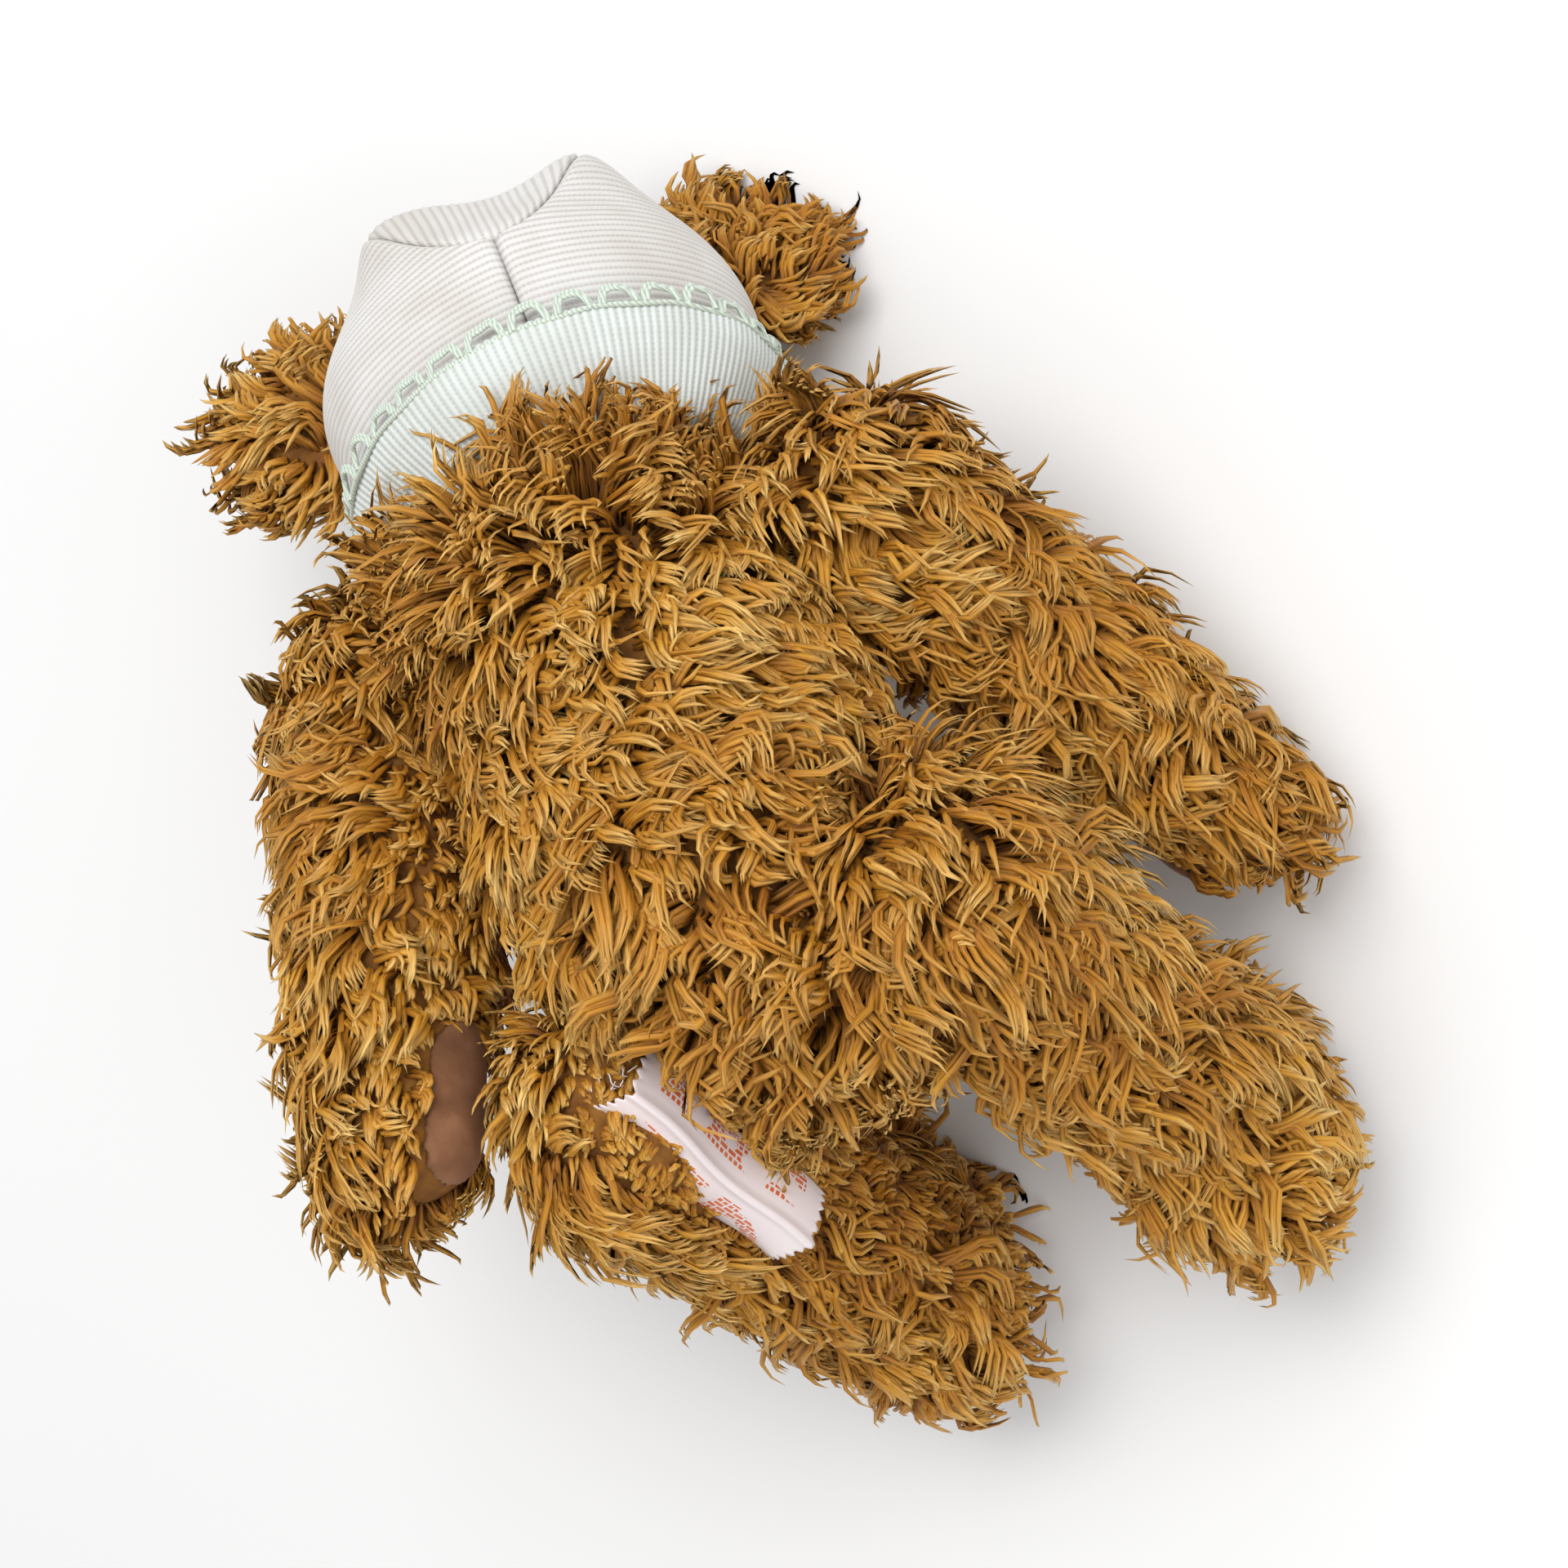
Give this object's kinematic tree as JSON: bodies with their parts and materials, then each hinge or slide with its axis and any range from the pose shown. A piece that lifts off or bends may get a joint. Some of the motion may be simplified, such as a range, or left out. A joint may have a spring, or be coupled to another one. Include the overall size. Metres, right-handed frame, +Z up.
{
  "type": "jointed teddy bear",
  "caption": "Plush teddy bear in a rib-knit bonnet, lying on its front; the head turns at the neck and the arms and legs swing on disc joints.",
  "frame": {"origin": "middle of the object's box, on the surface that it lies on", "axes": "+Y from the feet to the head, +Z up from the surface, the bear lying on its front with its left side towards -X"},
  "size_m": [0.168, 0.2811, 0.1416],
  "materials": {
    "plush": "golden brown wavy long-pile plush",
    "stuffing": "loose polyester fibre filling",
    "suede": "brown suede cloth, short nap",
    "rib_knit": "off-white rib knit",
    "trim_braid": "pale mint scalloped braid",
    "label_satin": "white satin ribbon with plain orange bars",
    "joint_disc": "moulded joint disc",
    "washer_steel": "pressed lock washer",
    "eye_glass": "glossy dark safety eye",
    "embroidery": "dark brown stitched thread"
  },
  "bodies": {
    "torso": {"body_skin": "plush", "body_stuffing": "stuffing", "neck_body_disc": "joint_disc", "arm_left_body_disc": "joint_disc", "arm_right_body_disc": "joint_disc", "leg_left_body_disc": "joint_disc", "leg_right_body_disc": "joint_disc"},
    "head": {"head_skin": "plush", "head_stuffing": "stuffing", "ear_left": "plush", "ear_right": "plush", "eye_left": "eye_glass", "eye_right": "eye_glass", "eye_washers": "washer_steel", "nose": "embroidery", "mouth_stitching": "embroidery", "neck_stem_disc": "joint_disc", "neck_lock_washer": "washer_steel", "cap_left_panel": "rib_knit", "cap_right_panel": "rib_knit", "cap_top_panel": "rib_knit", "cap_cuff": "rib_knit", "cap_trim": "trim_braid"},
    "arm_left": {"arm_left_skin": "plush", "arm_left_stuffing": "stuffing", "arm_left_paw_pad": "suede", "arm_left_stem_disc": "joint_disc", "arm_left_lock_washer": "washer_steel"},
    "arm_right": {"arm_right_skin": "plush", "arm_right_stuffing": "stuffing", "arm_right_paw_pad": "suede", "arm_right_stem_disc": "joint_disc", "arm_right_lock_washer": "washer_steel"},
    "leg_left": {"leg_left_skin": "plush", "leg_left_stuffing": "stuffing", "leg_left_foot_pad": "suede", "leg_left_stem_disc": "joint_disc", "leg_left_lock_washer": "washer_steel", "care_label": "label_satin"},
    "leg_right": {"leg_right_skin": "plush", "leg_right_stuffing": "stuffing", "leg_right_foot_pad": "suede", "leg_right_stem_disc": "joint_disc", "leg_right_lock_washer": "washer_steel"}
  },
  "joints": [
    {"name": "neck_turn", "type": "hinge", "parent": "torso", "child": "head", "pos_m": [0.00319, 0.05307, 0.0627], "axis": [-0.0005, 0.9386, -0.3449], "continuous": true},
    {"name": "shoulder_left", "type": "hinge", "parent": "torso", "child": "arm_left", "pos_m": [-0.03231, 0.05133, 0.08296], "axis": [0.9926, -0.0414, -0.1141], "range_deg": [-40, 95]},
    {"name": "shoulder_right", "type": "hinge", "parent": "torso", "child": "arm_right", "pos_m": [0.03953, 0.02916, 0.06889], "axis": [0.9926, -0.0414, -0.1141], "range_deg": [-91, 44]},
    {"name": "hip_left", "type": "hinge", "parent": "torso", "child": "leg_left", "pos_m": [-0.01691, -0.05139, 0.11073], "axis": [0.9987, -0.0174, -0.0488], "range_deg": [-75, 15]},
    {"name": "hip_right", "type": "hinge", "parent": "torso", "child": "leg_right", "pos_m": [0.02423, -0.0521, 0.10872], "axis": [0.9987, -0.0174, -0.0488], "range_deg": [-71, 19]}
  ]
}
